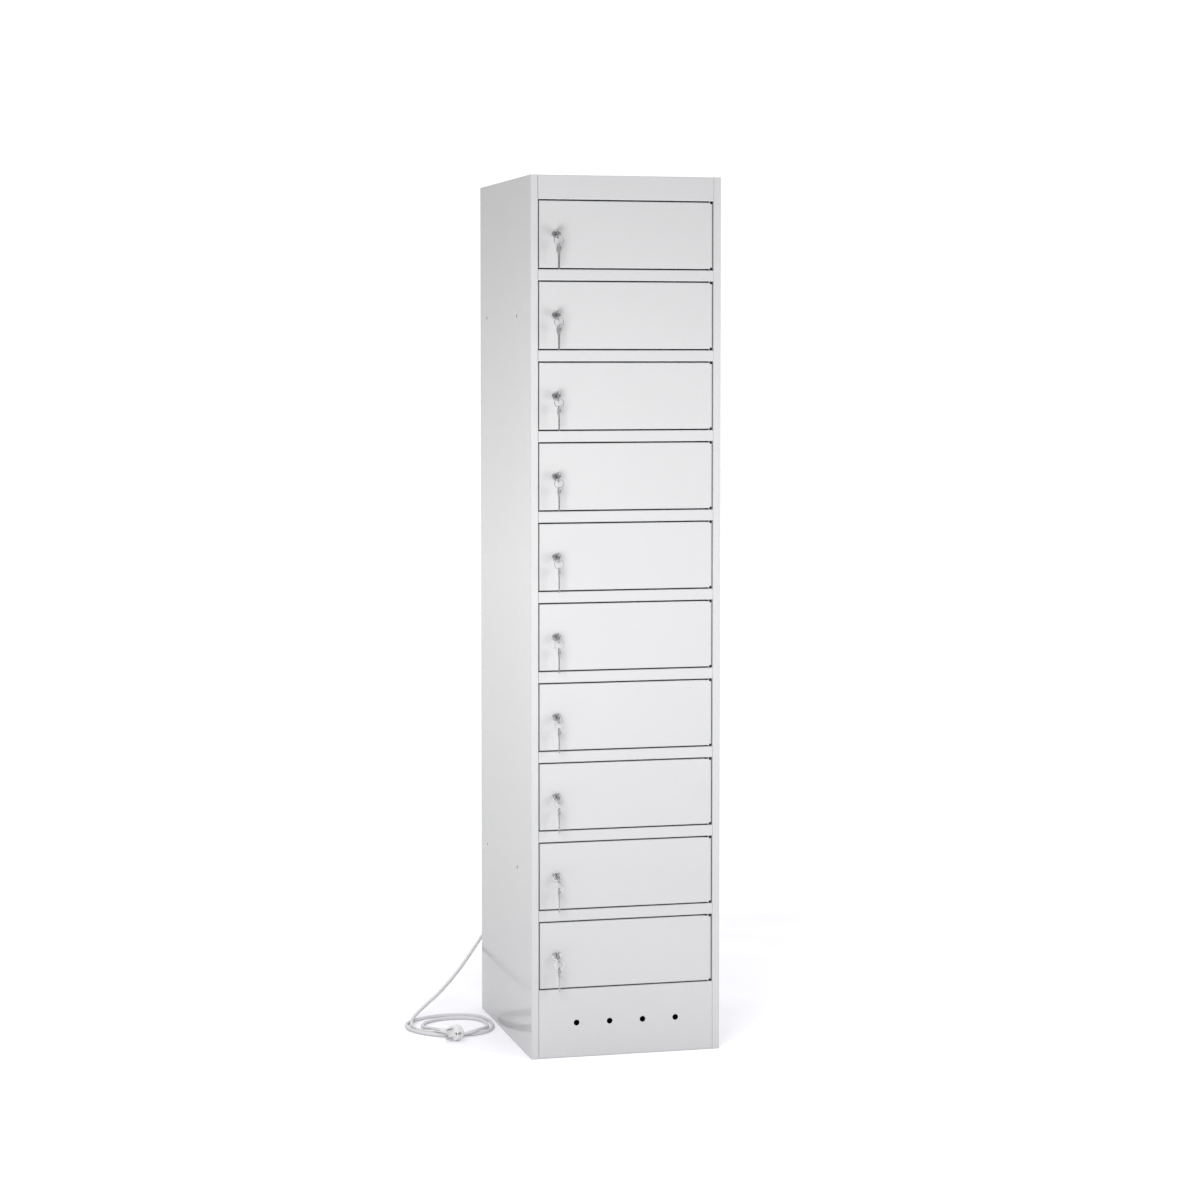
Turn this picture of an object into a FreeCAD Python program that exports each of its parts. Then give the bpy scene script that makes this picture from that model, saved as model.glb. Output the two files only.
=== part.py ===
import FreeCAD, Part
import math
import os

# Phone charging locker: a tall steel cabinet with ten small doors, one above the other.
# Units are millimetres. The origin is the middle of the base, +Z is up, the doors face -Y.

# ---- driving dimensions ----------------------------------------------------------------

CABINET_W = 400.0
CABINET_D = 490.0
CABINET_H = 1800.0
SHEET = 1.0
BEND = 1.0                  # inner radius of every fold

DOORS = 10
HEADER_H = 49.0
OPENING_H = 140.6
RAIL_H = 22.6
STILE_W = 16.0              # width of the side panels' front returns
FLANGE_D = 18.0             # how far the returns, rails and header fold back
REAR_RETURN = 20.0
TRAY_H = 16.0

DOOR_GAP = 2.6              # above and below each door
DOOR_SIDE_GAP = 2.0
HINGE_GAP = 0.8
DOOR_D = 15.0
CURL_R = 6.5                # outer radius of the rolled hinge edge
CURL_NOTCH = 3.0
PIN_R = 2.0
PIN_CLEARANCE = 0.05
BUSH_L = 12.0
PIN_IN_BUSH = 11.0

STOP_W = 11.0               # tab behind a door's free edge
STOP_T = 2.0
STOP_H = 16.0
STOP_DROP = 34.0            # from the top of the opening to the tab's lower edge
PAD_T = 0.7

LOCK_INSET = 53.0           # lock axis from the cabinet's left side
LOCK_R = 8.0
LOCK_FACE_R = 9.5
LOCK_FACE_T = 3.0
LOCK_FACE_RIM = 1.2
NUT_R = 12.0                # to the corners of the hexagon
NUT_T = 4.5
CORE_R = 5.7
CORE_CLEARANCE = 0.05
CORE_INSET = 0.3            # the core's face behind the lock's face
CAM_L = 45.0
CAM_W = 15.0
CAM_T = 2.0
SCREW_R = 5.0
SCREW_T = 3.0

KEY_BOW_R = 10.5
KEY_BOW_DROP = 6.3          # from the slot's centre to the bow's centre
KEY_T = 2.2
NECK_W = 9.0
NECK_L = 5.0
BLADE_T = 1.9
BLADE_W = 7.6
BLADE_L = 25.0
BLADE_IN_LOCK = 18.0
BITTING = ((1.6, 5), (2.4, 10), (1.2, 15), (2.0, 20))   # depth, and height above the tip
KEY_STANDS_OUT = 25.3       # the key ring's plane before the door's face
RING_R = 9.5
RING_WIRE_R = 0.8
# How far each hanging spare key has twisted round the vertical, top door first.
SPARE_TWISTS = (12, 10, 1, 0, -6, -3, -2, -5, -6, -4)

SHELF_REAR_Y = 174.0
SOCKET_X = 120.0
SOCKET_SIZE = 60.0
SOCKET_D = 38.0
SOCKET_RISE = 85.0          # socket centre above its shelf
SOCKET_CORNER_R = 6.0
RECESS_R = 19.8
RECESS_D = 17.0
SOCKET_HOLE_R = 2.7
SOCKET_HOLE_D = 12.0        # beyond the recess
LEAD_R = 4.0

TRUNKING_W = 30.0
TRUNKING_D = 29.0
MOULDING_T = 2.0
LID_T = 1.5
CONDUCTOR_R = 1.6
CONDUCTOR_PITCH = 5.0
BOX_W = 120.0
BOX_D = 60.0
BOX_BELOW = 60.0            # the junction box's lower and upper end from the cord's axis
BOX_ABOVE = 70.0
COVER_T = 3.0
COVER_CORNER_R = 5.0
TERMINALS = 6
TERMINAL_PITCH = 12.8
TERMINAL_SCREW_R = 2.6

VENT_R = 6.0
VENT_PITCH = 70.0
VENT_Z = 71.0
JOIN_R = 3.5
JOIN_YS = (-115.0, 180.0)
JOIN_ZS = (374.0, 1518.0)
RIVETS = 9                  # down each rear edge
RIVET_R = 3.1
RIVET_INSET = 10.0
RIVET_LOW = 60.0
RIVET_PITCH = 210.0

CORD_R = 3.5
GLAND_X = -96.0
GLAND_Z = 226.0
GLAND_R = 8.0               # threaded body, in the back panel's hole
GLAND_HEX_R = 12.0
GLAND_HEX_L = 6.0
GLAND_DOME = (10.0, 7.5, 8.0)       # radius at its foot, radius at its end, length
GLAND_SLEEVE_R = (7.0, 4.6)
GLAND_NUT_R = 11.0
GLAND_NUT_L = 5.0

PLUG_CENTRE = (-316.0, -42.0, 16.6)
PLUG_R = 16.5
PLUG_T = 20.0
PLUG_BACK_R = 5.0           # rounding of the plug's back edge
PLUG_NECK = (8.8, 6.2, 10.0, 25.0)  # radii, and where it starts and ends along the cord
PLUG_SLEEVE_R = (5.6, 4.4)
PLUG_GROOVE = 6.0
PIN_SPACING = 19.0
PIN_L = 19.0
CONTACT_R = 2.4
CONTACT_NOSE = 1.6

# The mains cord's route, from the gland's sleeve to the plug's sleeve.
CORD_ROUTE = (
    (-96, 276, 226), (-98, 303, 225), (-112, 330, 214), (-140, 341, 192), (-174, 319, 159),
    (-210, 282, 126), (-252, 251, 83), (-299, 217, 46), (-344, 185, 21), (-365, 154, 14),
    (-380, 122, 11), (-386, 93, 6), (-383, 64, 3.6), (-367, 36, 3.6), (-340, 11, 3.6),
    (-309, -4, 3.6), (-280, -10, 3.6), (-252, -4, 3.6), (-231, 17, 3.6), (-217, 48, 3.6),
    (-212.5, 82, 3.6), (-213, 116, 3.6), (-223, 148, 3.6), (-245, 170, 3.6), (-275, 178, 3.6),
    (-306, 179, 3.6), (-335, 170, 3.6), (-361, 154, 3.6), (-384, 134, 3.6), (-396, 107, 3.6),
    (-397, 77, 3.6), (-389, 47, 3.6), (-371, 20, 3.6), (-345, -2, 3.6), (-318, -15, 3.6),
    (-293, -19, 7), (-270, -12, 11), (-251, 4, 11), (-237, 27, 7), (-228, 53, 3.6),
    (-224.5, 82, 3.6), (-228, 110, 3.6), (-241, 133, 3.6), (-263, 146, 3.6), (-291, 149, 3.6),
    (-319, 143, 3.6), (-344, 127, 3.6), (-360, 104, 3.6), (-365, 79, 3.8), (-362, 55, 7),
    (-356, 33, 11.4), (-349, 13, 13.4), (-341, -5, 15),
)

# ---- sizes that follow from them -------------------------------------------------------

SIDE_X = CABINET_W / 2
FRONT_Y = -CABINET_D / 2
BACK_Y = CABINET_D / 2
INNER_X = SIDE_X - SHEET
OPENING_X = SIDE_X - STILE_W
FLANGE_Y = FRONT_Y + FLANGE_D
DOOR_PITCH = OPENING_H + RAIL_H
DOOR_H = OPENING_H - 2 * DOOR_GAP
DOOR_LEFT_X = -OPENING_X + DOOR_SIDE_GAP
HINGE_X = OPENING_X - HINGE_GAP - CURL_R
HINGE_Y = FRONT_Y + CURL_R
LOCK_X = -SIDE_X + LOCK_INSET
CAM_Y = FLANGE_Y + 1.0
CORE_FACE_Y = FRONT_Y - LOCK_FACE_T + CORE_INSET
HOLE_Y = FRONT_Y - KEY_STANDS_OUT
HOLE_SLOT = (4.6, 1.7)      # half length and half width of the slot in a key's bow
RING_DROP = 3.6 + RING_R    # from the lock axis down to the ring's centre
SOCKET_Y = SHELF_REAR_Y - SOCKET_D

Vec = FreeCAD.Vector
X_AXIS = Vec(1, 0, 0)
Y_AXIS = Vec(0, 1, 0)
Z_AXIS = Vec(0, 0, 1)


def opening_bottom(index):
    """Height of the lower edge of door opening number index, counted from 0 at the top."""
    return CABINET_H - HEADER_H - OPENING_H - index * DOOR_PITCH


# ---- shape helpers ---------------------------------------------------------------------

def box(x0, x1, y0, y1, z0, z1):
    return Part.makeBox(x1 - x0, y1 - y0, z1 - z0, Vec(x0, y0, z0))


def rod(radius, start, end):
    """A cylinder from one point to another."""
    along = end - start
    return Part.makeCylinder(radius, along.Length, start, along)


def taper(radius_start, radius_end, start, end):
    along = end - start
    return Part.makeCone(radius_start, radius_end, along.Length, start, along)


def joined(shapes):
    """One solid from shapes that overlap or share faces."""
    return shapes[0].multiFuse(shapes[1:]).removeSplitter()


def save(name, solids):
    for solid in solids:
        if not solid.isValid():
            raise ValueError(name + " holds an invalid solid")
    shape = solids[0]
    if len(solids) > 1:
        shape = Part.makeCompound(solids)
    shape.exportStep(os.path.join("parts", name + ".step"))


def rounded_wire(corners, radii):
    """A closed wire through the corners, each rounded by its radius."""
    ends = []
    count = len(corners)
    for index in range(count):
        corner = corners[index]
        before = (corners[index - 1] - corner).normalize()
        after = (corners[(index + 1) % count] - corner).normalize()
        if radii[index] == 0:
            ends.append((corner, None, corner))
            continue
        half = before.getAngle(after) / 2
        reach = radii[index] / math.tan(half)
        bisector = (before + after).normalize()
        middle = corner + bisector * (radii[index] / math.sin(half) - radii[index])
        ends.append((corner + before * reach, middle, corner + after * reach))
    edges = []
    for index in range(count):
        start, middle, end = ends[index]
        if middle is not None:
            edges.append(Part.Arc(start, middle, end).toShape())
        following = ends[(index + 1) % count][0]
        if (following - end).Length > 1e-6:
            edges.append(Part.LineSegment(end, following).toShape())
    return Part.Wire(Part.__sortEdges__(edges))


def folded(path, length, place, along):
    """A folded sheet: path is the middle line of its section, swept by length."""
    points = [Vec(u, v, 0) for u, v in path]
    sides = ([], [])
    radii = ([], [])
    last = len(points) - 1
    for index, point in enumerate(points):
        before = (point - points[max(index - 1, 0)])
        after = (points[min(index + 1, last)] - point)
        if index == 0:
            before = after
        if index == last:
            after = before
        before = Vec(before).normalize()
        after = Vec(after).normalize()
        normal = (Z_AXIS.cross(before) + Z_AXIS.cross(after)).normalize()
        reach = SHEET / 2 / normal.dot(Z_AXIS.cross(before))
        turn = before.cross(after).z
        sides[0].append(point + normal * reach)
        sides[1].append(point - normal * reach)
        left_is_inside = turn > 0
        fold = abs(turn) > 1e-6
        radii[0].append((BEND if left_is_inside else BEND + SHEET) if fold else 0)
        radii[1].append((BEND + SHEET if left_is_inside else BEND) if fold else 0)
    corners = [place(p.x, p.y) for p in sides[0] + sides[1][::-1]]
    wire = rounded_wire(corners, radii[0] + radii[1][::-1])
    return Part.Face(wire).extrude(along * length)


def stadium(half_length, radius, thickness):
    """A flat bar with round ends, along Z, centred on the origin, in the YZ plane."""
    flat = half_length - radius
    top = Vec(-thickness / 2, 0, flat)
    bottom = Vec(-thickness / 2, 0, -flat)
    bar = box(-thickness / 2, thickness / 2, -radius, radius, -flat, flat)
    ends = [Part.makeCylinder(radius, thickness, p, X_AXIS) for p in (top, bottom)]
    return joined([bar] + ends)


def hexagonal(radius, centre, length):
    """A hexagonal prism along +Y; radius reaches its corners."""
    corners = []
    for step in range(7):
        angle = math.radians(60 * step)
        corners.append(centre + Vec(radius * math.cos(angle), 0, radius * math.sin(angle)))
    return Part.Face(Part.makePolygon(corners)).extrude(Y_AXIS * length)


# ---- cabinet ---------------------------------------------------------------------------

def side_panel(sign):
    """Side sheet with its front return, inner flange and rear return, in one fold."""
    mid = SHEET / 2
    path = [
        (sign * (OPENING_X + mid), FLANGE_Y),
        (sign * (OPENING_X + mid), FRONT_Y + mid),
        (sign * (SIDE_X - mid), FRONT_Y + mid),
        (sign * (SIDE_X - mid), BACK_Y - mid),
        (sign * (SIDE_X - REAR_RETURN), BACK_Y - mid),
    ]
    panel = folded(path, CABINET_H, lambda u, v: Vec(u, v, 0), Z_AXIS)
    inner_low, inner_high = sorted((sign * (OPENING_X - 1), sign * INNER_X))
    under_top = box(inner_low, inner_high, FRONT_Y + SHEET, BACK_Y - SHEET,
                    CABINET_H - SHEET, CABINET_H)
    holes = []
    for y in JOIN_YS:
        for z in JOIN_ZS:
            start = Vec(sign * (SIDE_X - 3), y, z)
            holes.append(rod(JOIN_R, start, start + X_AXIS * (sign * 6)))
    return panel.cut([under_top] + holes)


def front_channel(z_low, z_high):
    """A channel between the stiles: a flat face with both long edges folded back."""
    mid = SHEET / 2
    path = [
        (FLANGE_Y, z_high - mid),
        (FRONT_Y + mid, z_high - mid),
        (FRONT_Y + mid, z_low + mid),
        (FLANGE_Y, z_low + mid),
    ]
    return folded(path, 2 * OPENING_X, lambda u, v: Vec(-OPENING_X, u, v), X_AXIS)


def top_panel():
    """Roof sheet folded down at the front into the header."""
    mid = SHEET / 2
    path = [
        (BACK_Y - 2 * SHEET, CABINET_H - mid),
        (FRONT_Y + mid, CABINET_H - mid),
        (FRONT_Y + mid, CABINET_H - HEADER_H + mid),
        (FLANGE_Y, CABINET_H - HEADER_H + mid),
    ]
    middle = folded(path, 2 * OPENING_X, lambda u, v: Vec(-OPENING_X, u, v), X_AXIS)
    wings = [
        box(-INNER_X, -OPENING_X, FRONT_Y + SHEET, BACK_Y - 2 * SHEET, CABINET_H - SHEET, CABINET_H),
        box(OPENING_X, INNER_X, FRONT_Y + SHEET, BACK_Y - 2 * SHEET, CABINET_H - SHEET, CABINET_H),
    ]
    return joined([middle] + wings)


def plinth_panel():
    panel = front_channel(0, opening_bottom(DOORS - 1))
    vents = []
    for step in (-1.5, -0.5, 0.5, 1.5):
        start = Vec(step * VENT_PITCH, FRONT_Y - 1, VENT_Z)
        vents.append(rod(VENT_R, start, start + Y_AXIS * 3))
    return panel.cut(vents)


def base_tray():
    """Floor sheet with its sides and back folded up."""
    tray = box(-INNER_X, INNER_X, FLANGE_Y, BACK_Y - 2 * SHEET, 0, TRAY_H)
    inside = box(-INNER_X + SHEET, INNER_X - SHEET, FLANGE_Y - 1, BACK_Y - 3 * SHEET,
                 SHEET, TRAY_H + 1)
    return tray.cut(inside)


def back_panel():
    edge_x = INNER_X - BEND - 0.2
    panel = box(-edge_x, edge_x, BACK_Y - 2 * SHEET, BACK_Y - SHEET, SHEET, CABINET_H - SHEET)
    start = Vec(GLAND_X, BACK_Y - 10, GLAND_Z)
    return panel.cut(rod(GLAND_R, start, start + Y_AXIS * 20))


def hinge_pin_spans():
    """Lowest and highest point of each hinge pin, from the header down to the plinth."""
    into_door = DOOR_GAP + CURL_NOTCH + PIN_IN_BUSH
    spans = [(CABINET_H - HEADER_H - into_door, CABINET_H - HEADER_H + 9)]
    for index in range(DOORS - 1):
        low = opening_bottom(index) - RAIL_H
        spans.append((low - into_door, low + RAIL_H + into_door))
    spans.append((opening_bottom(DOORS - 1) - 9, opening_bottom(DOORS - 1) + into_door))
    return spans


def hinge_pins():
    return [rod(PIN_R, Vec(HINGE_X, HINGE_Y, low), Vec(HINGE_X, HINGE_Y, high))
            for low, high in hinge_pin_spans()]


def shelves():
    plates = []
    for index in range(DOORS):
        top = opening_bottom(index)
        plates.append(box(-INNER_X, INNER_X, FLANGE_Y, SHELF_REAR_Y, top - SHEET, top))
    return plates


def door_stops():
    """A tab behind each door's free edge, with a rubber pad that the door closes on."""
    pieces = []
    for index in range(DOORS):
        z = opening_bottom(index) + OPENING_H - STOP_DROP
        tab_y = FLANGE_Y - STOP_T
        tab = box(-OPENING_X, -OPENING_X + STOP_W, tab_y, FLANGE_Y, z, z + STOP_H)
        pad = box(-OPENING_X + 1, -OPENING_X + STOP_W - 1, tab_y - PAD_T, tab_y,
                  z + 2, z + STOP_H - 2)
        pieces += [tab, pad]
    return pieces


def rivets():
    """Low round rivet heads that hold the back panel to the rear returns."""
    heads = []
    for x in (-SIDE_X + RIVET_INSET, SIDE_X - RIVET_INSET):
        for index in range(RIVETS):
            centre = Vec(x, BACK_Y, RIVET_LOW + index * RIVET_PITCH)
            edge = centre + Y_AXIS * 0.4
            heads.append(joined([rod(RIVET_R, centre, edge),
                                 taper(RIVET_R, RIVET_R - 1.1, edge, centre + Y_AXIS * 1.3)]))
    return heads


# ---- power -----------------------------------------------------------------------------

def socket_centre(index):
    return Vec(SOCKET_X, SOCKET_Y, opening_bottom(index) + SOCKET_RISE)


def power_socket(index):
    """Surface-mounted earthed outlet: a rounded case with a round recess and two pin holes."""
    centre = socket_centre(index)
    half = SOCKET_SIZE / 2
    case = box(-half, half, 0, SOCKET_D, -half, half)
    upright = [edge for edge in case.Edges if abs(edge.Length - SOCKET_D) < 1e-6]
    case = case.makeFillet(SOCKET_CORNER_R, upright)
    recess = Part.makeCylinder(RECESS_R, RECESS_D, Vec(0, 0, 0), Y_AXIS)
    cuts = [recess]
    for side in (-1, 1):
        hole = Vec(side * PIN_SPACING / 2, 0, 0)
        cuts.append(Part.makeCylinder(SOCKET_HOLE_R, RECESS_D + SOCKET_HOLE_D, hole, Y_AXIS))
    case = case.cut(cuts)
    case.translate(centre)
    return case


def service_wall():
    """Sheet that closes the wiring space off from the compartments."""
    wall = box(-INNER_X, INNER_X, SHELF_REAR_Y, SHELF_REAR_Y + SHEET, TRAY_H, CABINET_H - SHEET)
    holes = []
    for index in range(DOORS):
        z = socket_centre(index).z
        start = Vec(SOCKET_X, SHELF_REAR_Y - 2, z)
        holes.append(rod(LEAD_R, start, start + Y_AXIS * 5))
    return wall.cut(holes)


TRUNKING_X = (SOCKET_X - TRUNKING_W / 2, SOCKET_X + TRUNKING_W / 2)
TRUNKING_Y = (SHELF_REAR_Y + SHEET, SHELF_REAR_Y + SHEET + TRUNKING_D)
BOX_X = (GLAND_X - BOX_W / 2, GLAND_X + BOX_W / 2)
BOX_Y = (BACK_Y - 2 * SHEET - BOX_D, BACK_Y - 2 * SHEET)
BOX_Z = (GLAND_Z - BOX_BELOW, GLAND_Z + BOX_ABOVE)


def socket_wiring():
    """Trunking with its lid, the three conductors in it, and a short lead to each outlet."""
    x0, x1 = TRUNKING_X
    y0, y1 = TRUNKING_Y
    z0 = GLAND_Z - 30
    z1 = socket_centre(0).z + 30
    wall = MOULDING_T
    hollow = box(x0 + wall, x1 - wall, y0 + wall, y1 + 1, z0 + wall, z1 - wall)
    leads = []
    for index in range(DOORS):
        start = Vec(SOCKET_X, SHELF_REAR_Y, socket_centre(index).z)
        leads.append(rod(LEAD_R, start, start + Y_AXIS * 6))
    body = box(x0, x1, y0, y1, z0, z1).cut(hollow).cut(leads)
    lid = box(x0, x1, y1, y1 + LID_T, z0, z1)
    wires = []
    for step in (-1, 0, 1):
        foot = Vec(SOCKET_X + step * CONDUCTOR_PITCH, y0 + 18, z0 + wall)
        wires.append(rod(CONDUCTOR_R, foot, Vec(foot.x, foot.y, z1 - 2 * wall)))
    link = box(BOX_X[1], x0, y0 + 8, y0 + 28, z0 + 4, z0 + 24)
    return [body, lid, link] + wires + leads


def distribution_box():
    """Closed junction box on the back panel, where the mains cord comes in, with its cover."""
    x0, x1 = BOX_X
    y0, y1 = BOX_Y
    z0, z1 = BOX_Z
    wall = MOULDING_T
    hollow = box(x0 + wall, x1 - wall, y0, y1 - wall, z0 + wall, z1 - wall)
    entry = Vec(GLAND_X, y1 - 5, GLAND_Z)
    case = box(x0, x1, y0 + COVER_T, y1, z0, z1)
    case = case.cut(hollow).cut(rod(GLAND_R, entry, entry + Y_AXIS * 10))
    cover = box(x0, x1, y0, y0 + COVER_T, z0, z1)
    corners = [edge for edge in cover.Edges if abs(edge.Length - COVER_T) < 1e-6]
    return [case, cover.makeFillet(COVER_CORNER_R, corners)]


def terminal_block():
    """Strip of screw terminals inside the junction box."""
    x0, x1 = BOX_X
    rear = BOX_Y[1] - MOULDING_T
    top = BOX_Z[1]
    strip = box(x0 + 20, x1 - 20, rear - 22, rear, top - 40, top - 18)
    screws = []
    for step in range(TERMINALS):
        start = Vec(x0 + 28 + step * TERMINAL_PITCH, rear - 24, top - 29)
        screws.append(rod(TERMINAL_SCREW_R, start, start + Y_AXIS * 6))
    return strip.cut(screws)


def cable_gland():
    """Gland in the back panel: inner nut, body, outer hexagon and flexible sleeve."""
    def at(y):
        return Vec(GLAND_X, y, GLAND_Z)

    outside = BACK_Y - SHEET
    inside = BOX_Y[1] - MOULDING_T
    dome_y = outside + GLAND_HEX_L
    sleeve_y = dome_y + GLAND_DOME[2]
    hexagon = hexagonal(GLAND_HEX_R, at(outside), GLAND_HEX_L)
    body = rod(GLAND_R, at(inside - GLAND_NUT_L - 1), at(outside))
    dome = taper(GLAND_DOME[0], GLAND_DOME[1], at(dome_y), at(sleeve_y))
    sleeve = taper(GLAND_SLEEVE_R[0], GLAND_SLEEVE_R[1], at(sleeve_y), at(CORD_ROUTE[0][1]))
    nut = rod(GLAND_NUT_R, at(inside - GLAND_NUT_L), at(inside))
    nut = nut.cut(rod(GLAND_R, at(inside - GLAND_NUT_L - 1), at(inside + 1)))
    return [joined([body, hexagon, dome, sleeve]), nut]


# ---- doors, locks and keys -------------------------------------------------------------

def door(index):
    """Door pan with a rolled hinge edge, and the two bushes that turn on the hinge pins."""
    low = opening_bottom(index) + DOOR_GAP
    high = low + DOOR_H
    rear = FRONT_Y + DOOR_D
    outer = box(DOOR_LEFT_X, HINGE_X, FRONT_Y, rear, low, high)
    front_edges = []
    for edge in outer.Edges:
        middle = edge.CenterOfMass
        on_front = abs(middle.y - FRONT_Y) < 1e-6
        if on_front and middle.x < HINGE_X - 1:
            front_edges.append(edge)
    outer = outer.makeFillet(BEND + SHEET, front_edges)
    inner = box(DOOR_LEFT_X + SHEET, HINGE_X + 1, FRONT_Y + SHEET, rear + 1,
                low + SHEET, high - SHEET)
    around_pins = box(HINGE_X - 9, HINGE_X + 1, FRONT_Y + SHEET, rear + 1, low - 1, high + 1)
    lock_start = Vec(LOCK_X, FRONT_Y - 1, (low + high) / 2)
    lock_hole = rod(LOCK_R, lock_start, lock_start + Y_AXIS * 4)
    pan = outer.cut([inner, around_pins, lock_hole])

    axis_low = Vec(HINGE_X, HINGE_Y, low + CURL_NOTCH)
    curl_h = DOOR_H - 2 * CURL_NOTCH
    full_curl = Part.makeCylinder(CURL_R, curl_h, axis_low, Z_AXIS)
    full_curl = full_curl.cut(Part.makeCylinder(CURL_R - SHEET, curl_h, axis_low, Z_AXIS))
    half = box(HINGE_X, HINGE_X + 10, HINGE_Y - 10, HINGE_Y + 10, low, high)
    lip_y = HINGE_Y + CURL_R
    lip = box(HINGE_X - 11, HINGE_X, lip_y - SHEET, lip_y, low + CURL_NOTCH, high - CURL_NOTCH)
    pan = joined([pan, full_curl.common(half), lip])

    bushes = []
    for start_z in (low + CURL_NOTCH, high - CURL_NOTCH - BUSH_L):
        start = Vec(HINGE_X, HINGE_Y, start_z)
        tube = Part.makeCylinder(CURL_R - SHEET, BUSH_L, start, Z_AXIS)
        bushes.append(tube.cut(Part.makeCylinder(PIN_R + PIN_CLEARANCE, BUSH_L, start, Z_AXIS)))
    return [pan] + bushes


def lock_point(index, y):
    return Vec(LOCK_X, y, opening_bottom(index) + OPENING_H / 2)


def lock_housing(index):
    """Fixed barrel of the cam lock with its round face, and the nut that clamps the door."""
    back = CAM_Y - 0.5
    face_y = FRONT_Y - LOCK_FACE_T
    face = rod(LOCK_FACE_R, lock_point(index, face_y), lock_point(index, FRONT_Y))
    rim = [edge for edge in face.Edges if abs(edge.CenterOfMass.y - face_y) < 1e-6]
    face = face.makeFillet(LOCK_FACE_RIM, rim)
    barrel = rod(LOCK_R, lock_point(index, FRONT_Y), lock_point(index, back))
    bore = rod(CORE_R + CORE_CLEARANCE, lock_point(index, face_y - 1), lock_point(index, back + 1))
    nut_y = FRONT_Y + SHEET
    nut = hexagonal(NUT_R, lock_point(index, nut_y), NUT_T)
    nut = nut.cut(rod(LOCK_R, lock_point(index, nut_y - 1), lock_point(index, nut_y + 6)))
    return [joined([face, barrel]).cut(bore), nut]


def key():
    """A flat key: the bow's slot is centred on the origin and the blade points down."""
    bow_centre = Vec(-KEY_T / 2, 0, -KEY_BOW_DROP)
    bow = Part.makeCylinder(KEY_BOW_R, KEY_T, bow_centre, X_AXIS)
    neck_low = bow_centre.z - KEY_BOW_R - NECK_L
    neck = box(-KEY_T / 2, KEY_T / 2, -NECK_W / 2, NECK_W / 2, neck_low, bow_centre.z)
    half_blade = BLADE_W / 2
    blade_low = neck_low - BLADE_L
    blade = box(-BLADE_T / 2, BLADE_T / 2, -half_blade, half_blade, blade_low, neck_low + 1)
    half_slot, slot_r = HOLE_SLOT
    slot = stadium(half_slot, slot_r, KEY_T + 2)
    slot.rotate(Vec(0, 0, 0), X_AXIS, 90)
    cuts = [slot]
    for depth, rise in BITTING:
        notch = Part.makePolygon([
            Vec(-2, half_blade + 0.1, blade_low + rise - 2.4),
            Vec(-2, half_blade - depth, blade_low + rise - 0.5),
            Vec(-2, half_blade - depth, blade_low + rise + 0.5),
            Vec(-2, half_blade + 0.1, blade_low + rise + 2.4),
            Vec(-2, half_blade + 0.1, blade_low + rise - 2.4),
        ])
        cuts.append(Part.Face(notch).extrude(X_AXIS * 4))
    tip = Part.makePolygon([
        Vec(-2, half_blade + 0.1, blade_low - 0.1), Vec(-2, half_blade + 0.1, blade_low + 2.5),
        Vec(-2, half_blade - 2.5, blade_low - 0.1), Vec(-2, half_blade + 0.1, blade_low - 0.1),
    ])
    cuts.append(Part.Face(tip).extrude(X_AXIS * 4))
    return joined([bow, neck, blade]).cut(cuts)


def lock_core(index):
    """What turns in a lock: the plug with the key in it, the cam, and the cam's screw."""
    keyhole_y = CORE_FACE_Y + BLADE_IN_LOCK
    plug = rod(CORE_R, lock_point(index, CORE_FACE_Y), lock_point(index, CAM_Y))
    square = CORE_R * 0.6
    centre = lock_point(index, CAM_Y)
    tail = box(centre.x - square, centre.x + square, CAM_Y, CAM_Y + CAM_T,
               centre.z - square, centre.z + square)
    plug = joined([plug, tail])

    inserted = key()
    inserted.rotate(Vec(0, 0, 0), X_AXIS, 90)
    inserted.translate(lock_point(index, HOLE_Y))
    room = box(centre.x - 20, centre.x + 20, HOLE_Y - 20, keyhole_y, centre.z - 20, centre.z + 20)
    inserted = inserted.common(room)
    keyway = box(centre.x - BLADE_T / 2, centre.x + BLADE_T / 2, CORE_FACE_Y - 1, keyhole_y,
                 centre.z - BLADE_W / 2, centre.z + BLADE_W / 2)
    plug = plug.cut(keyway)

    radius = CAM_W / 2
    tip = lock_point(index, CAM_Y) + Z_AXIS * (radius - CAM_L)
    arm = box(centre.x - radius, centre.x + radius, CAM_Y, CAM_Y + CAM_T, tip.z, centre.z)
    cam = joined([arm, rod(radius, centre, centre + Y_AXIS * CAM_T),
                  rod(radius, tip, tip + Y_AXIS * CAM_T)])
    cam = cam.cut(tail)
    screw_y = CAM_Y + CAM_T
    screw_end = screw_y + SCREW_T
    screw = rod(SCREW_R, lock_point(index, screw_y), lock_point(index, screw_end))
    rim = [edge for edge in screw.Edges if abs(edge.CenterOfMass.y - screw_end) < 1e-6]
    screw = screw.makeFillet(SCREW_T / 2, rim)
    return [plug, inserted, cam, screw]


def hanging_keys(index):
    """The ring through the key in the lock, and the spare key that hangs from it."""
    centre = lock_point(index, HOLE_Y) - Z_AXIS * RING_DROP
    ring = Part.makeTorus(RING_R, RING_WIRE_R, centre, Y_AXIS)
    spare = key()
    spare.rotate(Vec(0, 0, 0), Z_AXIS, SPARE_TWISTS[index])
    spare.translate(centre - Z_AXIS * (RING_R + 0.7))
    return [ring, spare]


# ---- mains cord and plug ---------------------------------------------------------------

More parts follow.
